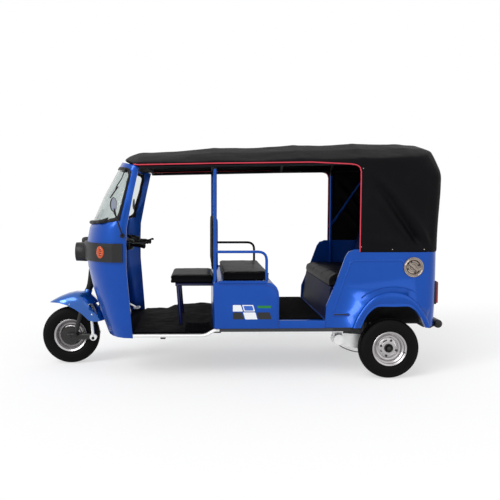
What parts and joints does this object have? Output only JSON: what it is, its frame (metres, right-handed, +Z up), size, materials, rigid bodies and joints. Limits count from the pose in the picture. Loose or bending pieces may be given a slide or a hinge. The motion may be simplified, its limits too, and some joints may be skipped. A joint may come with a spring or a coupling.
{
  "type": "electric rickshaw",
  "caption": "Electric passenger rickshaw with a steel nose and windscreen, a canvas hood, bench seats, a turning front fork and free-rolling wheels.",
  "frame": {"origin": "on the ground under the middle of the overall length and width", "axes": "+X towards the rear of the vehicle, +Y towards its right side, +Z up"},
  "size_m": [3.416, 1.63, 1.953],
  "materials": {
    "body_blue": "gloss metallic paint",
    "fender_blue": "gloss metallic paint",
    "dark_blue": "satin paint",
    "frame_grey": "satin paint",
    "steel": "zinc plated",
    "rim_silver": "silver paint",
    "black_plastic": "moulded",
    "black_vinyl": "grained vinyl",
    "navy_vinyl": "grained vinyl",
    "slate_vinyl": "grained vinyl",
    "canvas": "coated canvas",
    "tyre_rubber": "tread rubber",
    "rubber": "moulded",
    "clear": "clear",
    "amber": "clear tinted lens",
    "red_lens": "clear tinted lens",
    "chrome": "polished",
    "cast_metal": "as cast"
  },
  "bodies": {
    "vehicle": {"chassis": "frame_grey", "front_shell": "body_blue", "wheel_recess": "body_blue", "windscreen_gasket": "rubber", "windscreen": "clear", "dashboard": "black_plastic", "lamp_band": "black_plastic", "headlamp_left": "clear", "headlamp_right": "clear", "indicator_left": "amber", "indicator_right": "amber", "mirror_left": "black_plastic", "mirror_right": "black_plastic", "wiper": "black_plastic", "cab_floor": "black_vinyl", "passenger_floor": "body_blue", "passenger_mat": "rubber", "rear_tub": "body_blue", "wheel_house_left": "black_plastic", "wheel_house_right": "black_plastic", "charging_cap": "chrome", "hood": "canvas", "rear_window": "clear", "hood_frame": "body_blue", "middle_box": "body_blue", "battery": "black_plastic", "middle_cushion": "black_vinyl", "middle_backrest": "black_vinyl", "driver_seat_frame": "dark_blue", "driver_cushion": "black_vinyl", "rear_seat_base": "slate_vinyl", "rear_cushion": "black_vinyl", "rear_seat_back": "navy_vinyl", "trailing_arm_left": "steel", "trailing_arm_right": "steel", "rear_shock_left": "black_plastic", "rear_shock_right": "black_plastic", "drive_unit": "cast_metal", "rear_bumper": "black_plastic", "tail_lamp_left": "red_lens", "tail_lamp_right": "red_lens", "brake_pedal": "steel", "step_rail_left": "steel", "step_rail_right": "steel", "brake_cable_left": "rubber", "brake_cable_right": "rubber"},
    "steering": {"fork": "steel", "steering_boot": "rubber", "front_link": "steel", "front_shock_left": "black_plastic", "front_shock_right": "black_plastic", "front_fender": "fender_blue", "handlebar": "black_plastic"},
    "front_wheel": {"front_wheel_tyre": "tyre_rubber", "front_wheel_rim": "rim_silver"},
    "rear_wheel_left": {"rear_wheel_left_tyre": "tyre_rubber", "rear_wheel_left_rim": "rim_silver"},
    "rear_wheel_right": {"rear_wheel_right_tyre": "tyre_rubber", "rear_wheel_right_rim": "rim_silver"}
  },
  "joints": [
    {"name": "steering_turn", "type": "hinge", "parent": "vehicle", "child": "steering", "pos_m": [-1.262, 0, 0.75], "axis": [0.342, 0, 0.9397], "range_deg": [-35, 35]},
    {"name": "front_wheel_spin", "type": "hinge", "parent": "steering", "child": "front_wheel", "pos_m": [-1.455, 0, 0.253], "axis": [0, 1, 0], "continuous": true},
    {"name": "rear_wheel_left_spin", "type": "hinge", "parent": "vehicle", "child": "rear_wheel_left", "pos_m": [1.247, -0.56, 0.246], "axis": [0, 1, 0], "continuous": true},
    {"name": "rear_wheel_right_spin", "type": "hinge", "parent": "vehicle", "child": "rear_wheel_right", "pos_m": [1.247, 0.56, 0.246], "axis": [0, 1, 0], "continuous": true}
  ]
}
